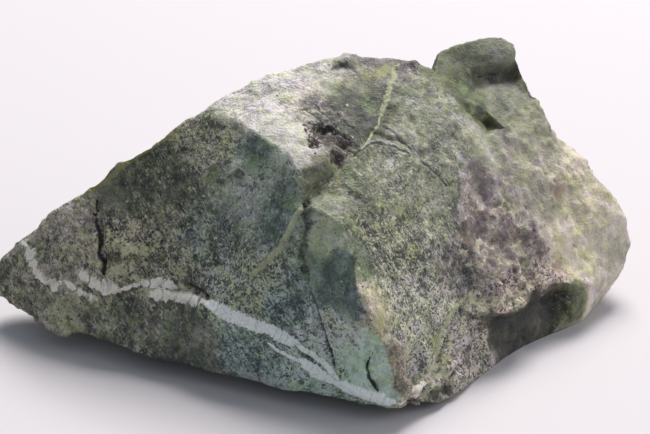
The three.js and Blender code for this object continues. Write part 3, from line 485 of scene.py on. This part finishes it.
# Small marks, each a place and how far it reaches.
marks = {
    "black": [
        (0.4, -2.3, 38.6, 1.0), (0.7, -2.7, 37.7, 1.6), (1.5, -4.7, 37.9, 1.0), (-1.0, -4.2, 38.7, 0.9),
        (-0.2, -6.5, 37.5, 1.2), (0.1, -7.6, 37.0, 1.0), (2.5, -5.7, 37.6, 1.0), (3.3, -4.7, 37.8, 0.8),
        (4.2, -5.1, 36.0, 1.4), (5.0, -4.6, 36.5, 1.2), (3.4, -7.5, 36.0, 1.2), (3.3, -8.1, 35.1, 1.0),
        (4.2, -7.6, 35.6, 0.9), (-0.6, -3.2, 38.9, 1.3), (1.4, -3.6, 38.2, 1.4), (-0.4, -5.4, 38.0, 1.2),
        (3.6, -6.4, 36.9, 1.3), (4.8, -6.0, 36.0, 1.2), (16.0, 12.4, 43.3, 1.3)],
    # shade: dark grains and patches, and painted shade in the valley beside the ridge, along the step above
    # the vein and under it, under the east ledge, in the peak's recess and in the prow's hollows
    "shade": [
        (-14.6, -5.6, 33.4, 0.8), (-12.6, -7.4, 32.2, 0.9), (-15.4, -6.6, 30.6, 0.8),
        (-8.8, -9.0, 32.4, 0.8), (-1.2, -16.4, 30.4, 1.3), (-1.0, -17.8, 28.6, 1.1),
        (-1.4, -17.9, 27.4, 1.0), (-1.8, -18.2, 25.6, 1.1), (-1.9, -18.6, 23.6, 1.0),
        (-1.6, -19.4, 21.6, 0.9), (-20.6, -12.3, 15.8, 0.8), (-19.8, -13.3, 15.5, 1.0),
        (-18.6, -14.3, 14.9, 1.0), (-17.6, -15.0, 14.2, 0.7), (-34.5, -7.2, 16.3, 1.0),
        (-34.0, -7.1, 17.4, 1.0), (-32.9, -7.3, 17.3, 1.0), (-32.4, -6.9, 18.1, 0.7),
        (-34.8, -7.9, 15.2, 0.9), (-35.4, -4.9, 18.7, 0.8), (-35.5, -4.1, 19.7, 0.7),
        (-31.8, -9.7, 12.1, 0.6), (-30.8, -9.9, 12.6, 0.8), (-29.9, -9.9, 13.2, 0.7),
        (-29.4, -8.5, 16.5, 0.7), (-28.4, -9.0, 16.2, 0.8), (-27.5, -9.6, 15.8, 0.8),
        (-26.4, -9.0, 18.1, 0.9), (-25.2, -9.4, 17.9, 0.9), (-43.6, -5.8, 9.7, 0.7),
        (-42.3, -5.9, 10.3, 0.6), (-38.6, -7.0, 9.6, 0.7), (-38.5, -8.1, 6.2, 1.1),
        (-23.7, -13.3, 11.7, 0.8), (-21.9, -14.3, 11.9, 0.9), (-19.4, -16.1, 12.4, 0.9),
        (-17.7, -17.2, 12.5, 0.8), (-1.6, -24.0, 9.1, 1.2), (-0.6, -24.6, 8.8, 0.9),
        (30.5, 20.6, 37.4, 1.6), (30.0, -8.6, 6.2, 2.2), (33.4, -6.7, 5.6, 2.2), (36.5, -3.6, 6.4, 2.0),
        (38.8, -1.4, 6.0, 1.5), (15.5, -26.4, 5.5, 0.9), (16.9, -24.0, 6.7, 0.9),
        (13.6, -29.0, 6.2, 1.0), (15.4, -28.8, 3.0, 1.3), (19.1, -25.3, 2.4, 1.2),
        (21.2, -23.3, 1.9, 1.2), (-15.4, -1.6, 38.3, 1.0), (-13.0, -1.9, 38.2, 0.8),
        (-17.0, -0.6, 38.4, 0.9), (4.6, 12.0, 43.2, 1.0)],
    "brown": [
        (-1.2, -12.9, 32.8, 1.0), (0.1, -11.9, 32.9, 1.0), (1.2, -11.0, 33.2, 0.9),
        (0.4, -9.4, 35.6, 1.2), (3.4, 11.2, 43.3, 0.9), (6.0, 11.3, 43.1, 0.9), (13.6, -29.6, 6.6, 0.8),
        (-0.9, -17.2, 29.6, 0.9), (42.0, 3.0, 6.5, 1.8)],
    "rust": [
        (11.2, 2.9, 38.8, 0.5), (25.4, -8.7, 18.9, 1.2), (24.8, -8.0, 20.4, 1.0), (41.7, 8.9, 21.9, 1.8),
        (41.6, 0.8, 11.5, 1.7), (32.3, -9.3, 10.4, 0.7), (33.0, 27.5, 18.0, 1.4), (4.3, -5.9, 36.2, 0.7),
        (39.0, 2.5, 13.0, 1.2)],
    "moss": [
        (19.2, -20.4, 9.6, 0.9), (18.8, -21.2, 8.6, 1.0), (19.6, -20.6, 7.0, 1.1),
        (20.7, -20.7, 5.9, 1.1), (21.6, -19.9, 5.8, 0.8), (8.5, 9.3, 42.3, 1.1), (10.3, 10.1, 42.7, 1.3),
        (12.0, 11.0, 43.0, 1.4), (13.1, -11.5, 28.1, 1.0), (14.1, -11.4, 27.1, 0.9),
        (-24.0, 16.0, 22.0, 1.5), (10.0, -27.4, 16.9, 1.2), (-38.6, -3.6, 20.5, 0.9),
        (30.5, -10.6, 10.6, 1.2), (26.0, 10.0, 35.2, 1.0)],
    "cream": [
        (-33.5, -8.3, 15.1, 1.0), (-32.1, -8.3, 15.5, 1.3), (-30.3, -8.8, 15.5, 1.2),
        (-29.4, -9.4, 14.9, 0.9), (-27.0, -11.6, 13.0, 0.9), (-25.7, -11.9, 13.4, 1.0),
        (-24.8, -12.5, 12.9, 0.9), (-23.4, -11.8, 14.0, 0.7), (-31.3, -7.1, 18.5, 1.0),
        (-30.1, -7.0, 19.0, 1.2), (-27.7, -8.4, 18.3, 0.9), (-38.1, -6.0, 16.4, 1.0),
        (-36.9, -6.7, 16.1, 0.9), (-24.5, -8.4, 19.8, 0.9), (-21.4, -12.3, 14.0, 0.8),
        (18.5, -23.2, 5.6, 1.1), (20.0, -22.7, 4.6, 1.1), (19.3, -22.4, 6.0, 0.8),
        (23.8, -9.6, 19.3, 0.8), (24.8, -10.0, 17.8, 0.9), (25.6, -12.2, 12.8, 1.0),
        (26.6, -12.4, 11.6, 1.0), (29.3, -11.4, 11.6, 1.0), (32.8, -9.6, 10.2, 1.1),
        (36.0, -5.2, 10.6, 1.2), (30.2, -11.0, 10.9, 1.1), (32.1, -8.1, 11.6, 0.9),
        (35.8, -5.4, 10.0, 1.0), (27.6, -12.6, 10.7, 1.2), (33.7, -9.5, 9.5, 1.0),
        (26.1, -12.3, 12.1, 0.9), (4.8, 2.7, 40.3, 0.8), (11.0, -27.9, 14.6, 1.0)],
    "chalk": [
        (-9.5, -22.4, 3.4, 1.6), (-7.2, -23.4, 3.4, 1.5), (-5.0, -24.4, 3.2, 1.3),
        (-11.1, -21.7, 3.4, 1.5), (15.5, 5.4, 39.3, 0.8), (15.9, 0.1, 35.9, 0.8), (14.7, 5.9, 40.0, 0.6),
        (9.6, -8.2, 32.9, 0.7), (12.3, -5.1, 33.8, 0.7), (-48.9, -1.6, 13.4, 0.8),
        (22.0, -21.0, 4.6, 0.7), (29.0, -10.6, 13.4, 0.7), (22.6, 8.6, 38.3, 1.1),
        (23.3, 5.6, 36.1, 1.1), (23.7, 0.5, 31.4, 1.2), (7.4, -5.0, 35.8, 0.6)],
    "green": [
        (5.0, -9.1, 34.3, 1.2), (5.5, -10.2, 33.4, 1.2), (6.7, -12.4, 31.9, 1.1),
        (1.0, -18.6, 28.4, 1.5), (3.0, -19.6, 28.6, 1.4), (9.0, 3.4, 39.8, 1.6), (24.2, 14.0, 39.0, 1.8),
        (26.2, 11.4, 36.6, 1.4), (-16.2, -5.5, 31.4, 1.8), (-9.7, -6.9, 34.7, 1.6),
        (-4.0, -14.5, 30.5, 1.6), (2.5, 5.6, 41.9, 1.4), (8.1, 3.7, 39.7, 1.4), (-24.0, -14.5, 9.0, 1.3),
        (-30.0, -11.5, 8.0, 1.3)],
    "mauve": [
        (25.9, 2.0, 29.6, 1.4), (26.9, 2.1, 27.8, 1.7), (27.8, 1.8, 26.1, 1.6), (28.5, 0.9, 24.1, 1.4),
        (24.0, 1.5, 31.5, 1.0), (22.8, -6.2, 24.5, 1.2), (23.8, -7.0, 22.5, 1.4),
        (25.2, -7.2, 20.6, 1.4), (27.4, -3.7, 21.0, 1.8), (30.7, -2.1, 18.0, 1.6),
        (32.0, -3.1, 15.4, 1.5), (38.2, 0.6, 14.2, 1.6), (36.0, 0.5, 17.0, 1.3), (28.4, -7.4, 16.0, 1.4),
        (22.0, -21.6, 3.9, 0.9), (24.6, -18.0, 4.0, 1.4), (19.0, 8.3, 39.7, 1.0), (13.2, 6.8, 41.1, 0.8),
        (33.5, 22.0, 37.0, 1.4)],
    "holes": [
        (-1.4, -14.8, 31.2, 0.9), (1.9, -3.6, 37.2, 0.5), (4.4, -5.2, 36.0, 0.5), (3.9, -7.0, 35.2, 0.5),
        (12.6, -28.4, 4.6, 0.6), (15.0, -27.4, 3.0, 0.8), (18.7, -24.2, 4.6, 0.6),
        (21.7, -22.0, 3.8, 0.7), (24.8, -14.2, 9.4, 0.7), (33.1, -5.4, 13.5, 0.6),
        (31.2, -7.7, 12.9, 0.5), (34.3, -5.7, 12.5, 0.5)],
}


def markFields(bm):
    fields = {}
    spot = np.array([v.co for v in bm.verts]) / mm
    warped = strayed(spot, stone["markStray"])
    for kind, found in marks.items():
        amount = np.zeros(len(spot))
        for x, y, z, reach in found:
            gap = np.linalg.norm(warped - np.array((x, y, z)), axis=1) / reach
            amount = np.maximum(amount, np.clip(1.35 - gap, 0, 1))
        fields[kind] = amount
    return fields


def chipped(place, size):
    # the stone breaks in small planes, each leaning its own way
    gaps, centres = noise.voronoi(place / size)
    near = (place / size - centres[0]).dot(noise.noise_vector(centres[0] * 5.31))
    other = (place / size - centres[1]).dot(noise.noise_vector(centres[1] * 5.31))
    blend = min(1.0, (gaps[1] - gaps[0]) / 0.16)
    return 0.5 * (near + other + (near - other) * blend)


def press(bm, fields):
    bm.normal_update()
    knobSize, knobHeight = stone["knobs"]
    moves = []
    for i, v in enumerate(bm.verts):
        place = v.co / mm
        if place.z < 0.05:
            moves.append(0.0)
            continue
        rough = fields["rough"][i]
        stray = place + noise.noise_vector(place / 2.4) * 0.9
        height = sum(size * lean * chipped(stray, size) for size, lean in stone["chips"])
        height += sum(tall * (0.55 - noise.turbulence(place / size, 3, True))
                      for size, tall in stone["creases"])
        height *= stone["smoothShare"] + 1.6 * rough
        knobbly = max(0.0, min(1.0, (rough - 0.55) / 0.35))
        if knobbly:
            gap = noise.voronoi((place + noise.noise_vector(place / 0.9) * 0.35) / knobSize)[0][0]
            height += knobbly * knobHeight * (0.45 - gap ** 1.5)
        vein, seam, crack, groove = (fields[k + "Across"][i] for k in ("vein", "seam", "crack", "groove"))
        inVein = max(0.0, min(1.0, (1.35 - vein) / 0.5))
        rib = noise.noise(Vector((fields["veinAlong"][i] / 0.55, 3.0, 0.0)))
        height = height * (1 - 0.6 * inVein) + inVein * (stone["veinProud"] + 0.09 * rib)
        height += stone["seamProud"] * max(0.0, 1 - seam / 1.3)
        height -= stone["crackDepth"] * max(0.0, 1 - crack / 1.25) ** 0.8
        height -= stone["grooveDepth"] * max(0.0, 1 - groove / 1.3)
        height -= stone["holeDepth"] * fields["holes"][i] * (0.6 + 0.4 * noise.noise(place / 0.5))
        moves.append(height * min(1.0, place.z / stone["footFade"]))
    for v, move in zip(bm.verts, moves):
        v.co += v.normal * move * mm
        v.co.z = max(0.0, v.co.z)


def buildStone(material):
    bm = copyOfNode()
    surface = BVHTree.FromBMesh(bm)
    refine(bm, treeOf(layLines(surface), tuple(sway))[0])
    soften(bm)
    bm.normal_update()
    surface = BVHTree.FromBMesh(bm)
    fields = {**toneFields(bm, surface), **markFields(bm), **lineFields(bm, layLines(surface))}
    print("stone marks laid:", ", ".join(fields))
    press(bm, fields)
    mesh = bpy.data.meshes.new("stoneSkin")
    bm.to_mesh(mesh)
    bm.free()
    mesh.shade_smooth()
    for name, values in fields.items():
        mesh.attributes.new(name, "FLOAT", "POINT").data.foreach_set("value", values.astype(np.float32))
    mesh.materials.clear()
    mesh.materials.append(material)
    piece = bpy.data.objects.new("stoneSkin", mesh)
    bpy.context.scene.collection.objects.link(piece)
    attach(piece, stone["body"])
    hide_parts(stone["node"])
    print("stone built:", len(mesh.polygons), "triangles")


class Wire:
    # one socket of the node tree that is being filled, with arithmetic
    tree = None

    def __init__(self, socket):
        self.socket = socket

    @classmethod
    def node(cls, kind, settings=None, inputs=None, out=0):
        made = cls.tree.nodes.new("ShaderNode" + kind)
        for name, value in (settings or {}).items():
            if name == "stops":
                while len(made.color_ramp.elements) < len(value):
                    made.color_ramp.elements.new(0.5)
                for element, (position, colour) in zip(made.color_ramp.elements, value):
                    element.position, element.color = position, colour
            else:
                setattr(made, name, value)
        for name, value in (inputs or {}).items():
            if isinstance(value, Wire):
                cls.tree.links.new(value.socket, made.inputs[name])
            else:
                made.inputs[name].default_value = value
        return cls(made.outputs[out])

    def sibling(self, out):
        # another output of the same node
        return Wire(self.socket.node.outputs[out])

    def maths(self, operation, other, clamp=False):
        return Wire.node("Math", {"operation": operation, "use_clamp": clamp}, {0: self, 1: other})

    def __add__(self, other):
        return self.maths("ADD", other)

    __radd__ = __add__

    def __mul__(self, other):
        return self.maths("MULTIPLY", other)

    __rmul__ = __mul__

    def __sub__(self, other):
        return self.maths("SUBTRACT", other)

    def __rsub__(self, other):
        return Wire.node("Math", {"operation": "SUBTRACT"}, {0: other, 1: self})

    def ramped(self, low, high):
        # 0 below low, 1 above high, smooth between
        return Wire.node("MapRange", {"interpolation_type": "SMOOTHSTEP"},
                         {"Value": self, "From Min": low, "From Max": high})

    def over(self, ground, colour):
        # the colour laid on the ground as thickly as this wire says
        return Wire.node("Mix", {"data_type": "RGBA"}, {0: self, 6: ground, 7: colour}, out=2)


def field(name):
    return Wire.node("Attribute", {"attribute_name": name}, out=2)


def shifted(place, step):
    return Wire.node("VectorMath", {"operation": "ADD"}, {0: place, 1: step})


def grainy(place, size, detail=2.0, rough=0.55, shift=(0, 0, 0)):
    return Wire.node("TexNoise", {}, {"Vector": shifted(place, shift), "Scale": 1 / size, "Detail": detail,
                                      "Roughness": rough}) - 0.5


def stretched(place, turn, sizes):
    return Wire.node("Mapping", {"vector_type": "TEXTURE"},
                     {"Vector": place, "Rotation": [math.radians(a) for a in turn], "Scale": sizes})


def crystals(place, size, shift=(0, 0, 0)):
    # a mosaic of grains: a number from 0 to 1 for each grain, another one, and how far out in it a point is
    gap = Wire.node("TexVoronoi", {}, {"Vector": shifted(place, shift), "Scale": 1 / size, "Randomness": 1.0})
    own = Wire.node("SeparateColor", {}, {0: gap.sibling(1)})
    return own, own.sibling(1), gap


rock = {
    "tones": [      # the ground, from its darkest green to bruised and dusty
        (0.0, (0.024, 0.031, 0.027, 1)), (0.22, (0.08, 0.092, 0.072, 1)), (0.45, (0.19, 0.205, 0.155, 1)),
        (0.72, (0.375, 0.385, 0.31, 1)), (1.0, (0.66, 0.655, 0.6, 1))],
    "umber": (0.14, 0.09, 0.095, 1),
    "paleGrain": (0.57, 0.57, 0.475, 1),
    "fibre": (0.45, 0.47, 0.4, 1),
    "darkGrain": (0.024, 0.028, 0.042, 1),
    "darkClot": (0.045, 0.052, 0.07, 1),
    "black": (0.04, 0.018, 0.025, 1),
    # dark grey-green for the shade marks, partly dark patches and partly painted shade
    "shade": (0.028, 0.034, 0.029, 1),
    "brown": (0.085, 0.075, 0.035, 1),
    "rust": (0.24, 0.125, 0.085, 1),
    "moss": (0.36, 0.36, 0.14, 1),
    "creamGrain": (0.55, 0.54, 0.36, 1),
    "chalk": (0.5, 0.52, 0.54, 1),
    "green": (0.18, 0.26, 0.115, 1),
    "mauve": (0.095, 0.07, 0.082, 1),
    "seam": (0.4, 0.42, 0.25, 1),
    "veinWhite": (0.94, 1.0, 0.98, 1),
    "veinTan": (0.9, 0.82, 0.71, 1),
    "veinDark": (0.17, 0.19, 0.2, 1),
    "veil": (0.44, 0.5, 0.48, 1),
    # the colour of the painted rim light along the left crest
    "rind": (0.26, 0.25, 0.085, 1),
    "crack": (0.016, 0.016, 0.015, 1),
    "groove": (0.075, 0.072, 0.08, 1),
    "patches": {"green": 0.45, "mauve": 0.75, "moss": 0.6, "brown": 0.7, "rust": 0.5},     # thickness
    "fibreTurn": (-22, -36, 0),     # degrees
    "bump": 0.00034,                # metres for a full step of height
}


def stoneMaterial():
    material = bpy.data.materials.new("mottledStone")
    material.use_nodes = True
    Wire.tree = material.node_tree
    shader = Wire.tree.nodes["Principled BSDF"]
    objectPlace = Wire.node("TexCoord", out=3)
    place = Wire.node("VectorMath", {"operation": "SCALE"}, {0: objectPlace, "Scale": 1 / mm})
    light, grain, soot, stain = (field(n) for n in ("light", "grain", "soot", "stain"))

    broad = grainy(place, 5.5, 2, 0.5)
    patchy = grainy(place, 2.2, 3, 0.55, (11, 3, 5))
    coarse = grainy(place, 1.1, 2, 0.5, (8, 2, 3))
    fine = grainy(place, 0.45, 3, 0.6, (2, 5, 9))
    fibres = grainy(stretched(place, rock["fibreTurn"], (0.26, 0.26, 2.4)), 1.0, 2, 0.55)
    bend = Wire.node("TexNoise", {}, {"Vector": place, "Scale": 1.6, "Detail": 2.0}, out=1)
    bent = Wire.node("VectorMath", {"operation": "MULTIPLY_ADD"}, {0: bend, 1: (0.9, 0.9, 0.9), 2: place})

    # the ground takes its tone from every scale at once, the finer ones where it is grainy
    own, other, edge = crystals(bent, 0.48)
    tone = light + broad * 0.6 + patchy * (grain * 0.6 + 0.4) + coarse * (grain * 0.8 + 0.2)
    tone = tone + fine * (grain * 0.9 + 0.22) + fibres * (grain * 0.6 + 0.05)
    tone = tone + (own - 0.5) * (grain * 0.26 + 0.02)
    colour = Wire.node("ValToRGB", {"stops": rock["tones"]}, {0: tone})

    # pale crystals in clusters, and short pale fibres
    swarm = grainy(place, 1.9, 2, 0.5, (4, 9, 1))
    paleMask = grainy(bent, 0.5, 2, 0.5, (9, 4, 2)) + swarm * 0.6 + fibres * 0.6 + grain * 0.2 - 0.27
    paleMask = paleMask.ramped(-0.01, 0.11)
    colour = (paleMask * (0.3 + 0.5 * other + light * 0.2)).over(colour, rock["paleGrain"])
    strands = grainy(stretched(place, rock["fibreTurn"], (0.16, 0.16, 2.6)), 1.0, 2, 0.5, (7, 7, 7))
    fibreMask = (strands + patchy * 0.5 + grain * 0.12 - 0.215).ramped(0.0, 0.06)
    colour = (fibreMask * 0.68).over(colour, rock["fibre"])

    # its hue drifts from place to place and from patch to patch
    drift = grainy(place, 2.9, 3, 0.6, (1, 17, 6))
    red = field("red") * (1 + patchy) + drift * 0.3 + fine * 0.15
    yellow = field("yellow") - drift * 0.9 + coarse * 0.4
    yellow = yellow + grainy(place, 0.8, 2, 0.5, (5, 7, 19)) * 0.5 + 0.04
    tint = Wire.node("CombineXYZ", {}, {"X": red + 1, "Y": 1 - red * 0.15, "Z": 1 - yellow})
    colour = Wire.node("VectorMath", {"operation": "MULTIPLY"}, {0: colour, 1: tint})
    stained = (stain + grainy(place, 1.8, 4, 0.65, (7, 1, 8)) * 1.7).ramped(0.28, 0.6)
    colour = (stained * 0.7).over(colour, rock["umber"])

    # dark specks and clots
    clump = grainy(place, 1.5, 2, 0.5, (3, 31, 12))
    darkMask = grainy(bent, 0.4, 2, 0.5, (31, 14, 6)) + fine * 0.4 + clump * 0.45 + soot * 0.12 - 0.15
    darkMask = darkMask.ramped(-0.02, 0.12)
    colour = (darkMask * (0.65 + own * 0.3)).over(colour, rock["darkGrain"])
    clots = (grainy(place, 1.0, 2, 0.5, (9, 21, 4)) + fine * 0.9 + soot * 0.1 - 0.23).ramped(0.0, 0.2)
    colour = (clots * 0.55).over(colour, rock["darkClot"])

    # patches that belong to one spot, broken up by the grain around them
    broken = patchy * 0.9 + coarse * 1.2 + fine * 1.1

    def patch(name, spread, low, high):
        amount = field(name)
        return (amount + broken * spread).ramped(low, high) * amount.ramped(0.02, 0.3)

    for name, thickness in rock["patches"].items():
        colour = (patch(name, 1.6, 0.15, 0.95) * thickness).over(colour, rock[name])
    colour = (patch("cream", 2.1, 0.2, 0.85) * (0.4 + 0.6 * other)).over(colour, rock["creamGrain"])
    colour = (patch("chalk", 1.8, 0.2, 0.9) * 0.42).over(colour, rock["chalk"])
    blackness = 0.96 - 0.7 * other.ramped(0.68, 0.8)
    colour = (patch("black", 2.8, 0.3, 0.75) * blackness).over(colour, rock["black"])
    # the shade marks: dark patches, and painted shade in the creases, the recesses and under the ledge
    colour = (patch("shade", 1.9, 0.15, 1.0) * 0.78).over(colour, rock["shade"])
    holes = (field("holes") + fine * 0.9).ramped(0.4, 0.95)
    colour = (holes * 0.75).over(colour, rock["crack"])

    # the thin seams, and the vein with fibres that run across it
    ragged = fine * 1.6 + coarse
    seam = 1 - (field("seamAcross") + ragged * 1.4 + patchy).ramped(0.6, 1.5)
    colour = (seam * 0.8).over(colour, rock["seam"])
    along, across, tan = field("veinAlong"), field("veinAcross"), field("veinTan")
    thread = Wire.node("CombineXYZ", {}, {"X": along + across * 0.12, "Y": across * 0.2})
    threads = grainy(thread, 0.24, 2, 0.6)
    columns = grainy(thread, 0.62, 2, 0.55, (5, 5, 5))
    veinEdge = across + threads * 0.7 + columns * (tan * 1.6 + 0.5) + fine * 0.8 + coarse * (tan * 2.2 + 0.7)
    vein = 1 - veinEdge.ramped(0.75, 1.15)
    block = crystals(thread, 0.8)[0]
    veinColour = tan.over(rock["veinWhite"], rock["veinTan"])
    veinColour = ((0 - threads).ramped(0.04, 0.16) * 0.36).over(veinColour, rock["veinDark"])
    veinColour = ((block + patchy * 1.5).ramped(0.55, 1.05) * (tan + 0.06)).over(veinColour, rock["veinDark"])
    colour = (vein * (0.96 - tan * 0.1)).over(colour, veinColour)
    # a painted highlight: the rim of light along the left crest
    rind = 1 - (field("rindAcross") + ragged).ramped(0.4, 1.5)
    colour = (rind * 0.8).over(colour, rock["rind"])
    veil = 1 - (field("veilAcross") + threads + ragged).ramped(0.5, 1.4)
    colour = (veil * 0.6).over(colour, rock["veil"])
    groove = 1 - (field("grooveAcross") + ragged + patchy).ramped(0.5, 1.4)
    colour = (groove * 0.75).over(colour, rock["groove"])
    crack = 1 - (field("crackAcross") + ragged * 1.4 + patchy * 2).ramped(0.4, 1.3)
    colour = (crack * 0.88).over(colour, rock["crack"])

    height = fine * 0.7 + grainy(place, 0.25, 2, 0.6, (3, 3, 7)) * 0.35 + coarse * 0.5 - edge * 0.2 * grain
    height = height + paleMask * 0.1 - darkMask * 0.2 + (threads + columns) * vein * 0.35
    height = height - crack * 0.5 - holes * 0.4
    bump = Wire.node("Bump", {}, {"Strength": 1.0, "Distance": rock["bump"], "Height": height})
    rough = 0.6 + paleMask * 0.16 + light * 0.15 - darkMask * 0.12
    for name, wire in (("Base Color", colour), ("Roughness", rough), ("Normal", bump)):
        Wire.tree.links.new(wire.socket, shader.inputs[name])
    shader.inputs["IOR"].default_value = 1.5
    shader.inputs["Specular IOR Level"].default_value = 0.45
    print("stone material:", len(Wire.tree.nodes), "nodes")
    return material


studio = {
    "floorHalf": 3.0,       # metres
    "floorColour": (0.55, 0.52, 0.535, 1),
    "floorRough": 0.6,
    "floorSpecular": 0.2,
    "lampAim": (0, 0, 0.02),
    "world": (0.77, 0.88, 1.0, 1),
    "worldStrength": 0.35,
    "lamps": {   # place and size in metres, power in watts
        "overhead": dict(at=(0.15, 0.76, 1.2), size=0.66, power=30, colour=(1.0, 0.97, 0.955)),
        "side": dict(at=(0.75, -0.1, 0.45), size=0.6, power=2.3, colour=(1.0, 0.98, 0.97)),
    },
}


def buildFloor():
    bm = bmesh.new()
    bmesh.ops.create_grid(bm, x_segments=1, y_segments=1, size=studio["floorHalf"])
    mesh = bpy.data.meshes.new("paleFloor")
    bm.to_mesh(mesh)
    bm.free()
    material = bpy.data.materials.new("paleFloor")
    material.use_nodes = True
    shader = material.node_tree.nodes["Principled BSDF"]
    shader.inputs["Base Color"].default_value = studio["floorColour"]
    shader.inputs["Roughness"].default_value = studio["floorRough"]
    shader.inputs["Specular IOR Level"].default_value = studio["floorSpecular"]
    mesh.materials.append(material)
    floor = bpy.data.objects.new("paleFloor", mesh)
    bpy.context.scene.collection.objects.link(floor)


def buildLights():
    world = bpy.data.worlds.new("softRoom")
    bpy.context.scene.world = world
    world.use_nodes = True
    background = world.node_tree.nodes["Background"]
    background.inputs["Color"].default_value = studio["world"]
    background.inputs["Strength"].default_value = studio["worldStrength"]
    for name, lamp in studio["lamps"].items():
        data = bpy.data.lights.new(name, "AREA")
        data.size, data.energy, data.color = lamp["size"], lamp["power"], lamp["colour"]
        light = bpy.data.objects.new(name, data)
        light.location = lamp["at"]
        towards = Vector(studio["lampAim"]) - Vector(lamp["at"])
        light.rotation_euler = towards.to_track_quat("-Z", "Y").to_euler()
        bpy.context.scene.collection.objects.link(light)


view = {
    "aim": (1.51, -7.39, 24.75),    # millimetres
    "distance": 270,
    "rise": 27,                     # degrees above level
    "lens": 92.3,
    "sensor": 36,
    "nearClip": 0.01,               # metres
}


def addCamera():
    aim = Vector(view["aim"]) * mm
    rise = math.radians(view["rise"])
    data = bpy.data.cameras.new("viewCamera")
    data.lens, data.sensor_width, data.clip_start = view["lens"], view["sensor"], view["nearClip"]
    camera = bpy.data.objects.new("viewCamera", data)
    camera.location = aim + view["distance"] * mm * Vector((0, -math.cos(rise), math.sin(rise)))
    camera.rotation_euler = (aim - camera.location).to_track_quat("-Z", "Y").to_euler()
    bpy.context.scene.collection.objects.link(camera)
    bpy.context.scene.camera = camera


addCamera()
buildFloor()
buildLights()
bpy.context.scene.view_settings.view_transform = "Standard"
print("studio ready")
buildStone(stoneMaterial())
